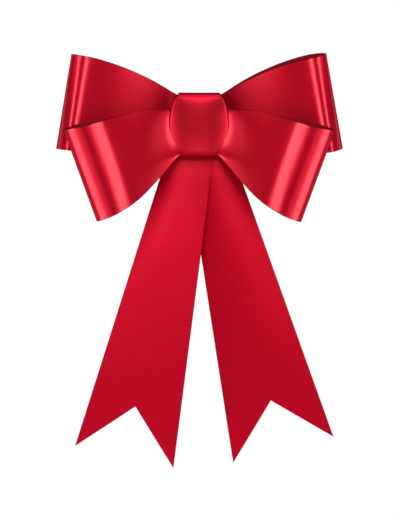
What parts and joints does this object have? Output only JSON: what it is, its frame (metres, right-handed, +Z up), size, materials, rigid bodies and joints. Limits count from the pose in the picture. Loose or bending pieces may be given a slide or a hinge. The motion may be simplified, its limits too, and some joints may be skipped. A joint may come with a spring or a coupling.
{
  "type": "pre-made gift bow",
  "caption": "Ready-tied ribbon gift bow: rear and front loops, swallow-tailed streamers and a padded knot band on a self-adhesive backing.",
  "frame": {"origin": "centre of the back mounting face, on the axis of the centre stitch", "axes": "+X to the bow's right as seen from the front, +Z up, -Y towards the viewer; +Y is the mounting face's outward normal"},
  "size_m": [0.1819, 0.0339, 0.2617],
  "materials": {
    "satin_ribbon": "smooth, glossy red satin-faced ribbon",
    "padding": "matt white wadding",
    "glue": "translucent hot-melt glue",
    "thread": "twisted red polyester thread",
    "card": "uncoated white card",
    "foam_tape": "closed-cell white foam tape",
    "liner_paper": "siliconised white release paper"
  },
  "bodies": {
    "knot": {"knot_band": "satin_ribbon", "knot_padding": "padding", "band_glue": "glue", "centre_stitch": "thread", "backing_card": "card", "adhesive_pad": "foam_tape"},
    "rear_right": {"rear_right_loop": "satin_ribbon"},
    "rear_left": {"rear_left_loop": "satin_ribbon"},
    "front_right": {"front_right_loop": "satin_ribbon"},
    "front_left": {"front_left_loop": "satin_ribbon"},
    "right_streamer": {"right_tail": "satin_ribbon"},
    "left_streamer": {"left_tail": "satin_ribbon"},
    "liner": {"release_liner": "liner_paper"}
  },
  "joints": [
    {"name": "rear_right_fan", "type": "hinge", "parent": "knot", "child": "rear_right", "pos_m": [0, 0, 0], "axis": [0, 1, 0], "range_deg": [0, 9.8]},
    {"name": "rear_left_fan", "type": "hinge", "parent": "knot", "child": "rear_left", "pos_m": [0, 0, 0], "axis": [0, 1, 0], "range_deg": [-9.1, 0]},
    {"name": "front_right_fan", "type": "hinge", "parent": "knot", "child": "front_right", "pos_m": [0, 0, 0], "axis": [0, 1, 0], "range_deg": [-20.3, 0]},
    {"name": "front_left_fan", "type": "hinge", "parent": "knot", "child": "front_left", "pos_m": [0, 0, 0], "axis": [0, 1, 0], "range_deg": [0, 20.1]},
    {"name": "right_tail_fan", "type": "hinge", "parent": "knot", "child": "right_streamer", "pos_m": [0, 0, 0], "axis": [0, 1, 0], "range_deg": [0, 14.5]},
    {"name": "left_tail_fan", "type": "hinge", "parent": "knot", "child": "left_streamer", "pos_m": [0, 0, 0], "axis": [0, 1, 0], "range_deg": [-12.7, 0]},
    {"name": "liner_peel", "type": "hinge", "parent": "knot", "child": "liner", "pos_m": [0, -0.00015, 0.013], "axis": [1, 0, 0], "range_deg": [0, 160]}
  ]
}
